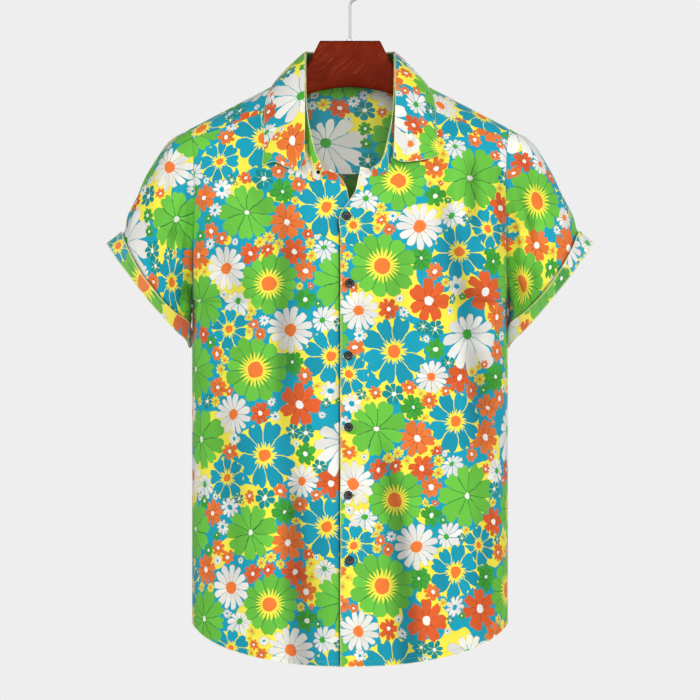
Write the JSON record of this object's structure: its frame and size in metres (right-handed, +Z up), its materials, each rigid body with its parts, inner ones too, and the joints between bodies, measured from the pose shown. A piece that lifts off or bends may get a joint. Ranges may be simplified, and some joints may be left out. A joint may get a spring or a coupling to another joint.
{
  "type": "hawaiian shirt on a wooden hanger",
  "caption": "Short-sleeved shirt with a bold all-over flower print, folded collar and turned-up cuffs, hanging buttoned on a wooden hanger.",
  "frame": {"origin": "the inner top of the hanger's steel hook, where a rail holds it", "axes": "+Z up, -Y towards the shirt's front, +X towards the wearer's left"},
  "size_m": [0.6112, 0.2467, 0.8722],
  "materials": {
    "printed_cotton": "printed plain weave, soft sheen",
    "button_plastic": "polished black",
    "hanger_wood": "glossy red-brown lacquer",
    "hook_steel": "polished"
  },
  "bodies": {
    "root": {"back": "printed_cotton", "yoke": "printed_cotton", "front_left": "printed_cotton", "front_right": "printed_cotton", "sleeve_left": "printed_cotton", "sleeve_right": "printed_cotton", "cuff_left": "printed_cotton", "cuff_right": "printed_cotton", "collar_stand": "printed_cotton", "collar_leaf": "printed_cotton", "button_1": "button_plastic", "button_2": "button_plastic", "button_3": "button_plastic", "button_4": "button_plastic", "button_5": "button_plastic", "button_6": "button_plastic", "stand_button": "button_plastic", "hanger_wood": "hanger_wood", "hanger_ferrule": "hook_steel", "hanger_hook": "hook_steel"}
  },
  "joints": []
}
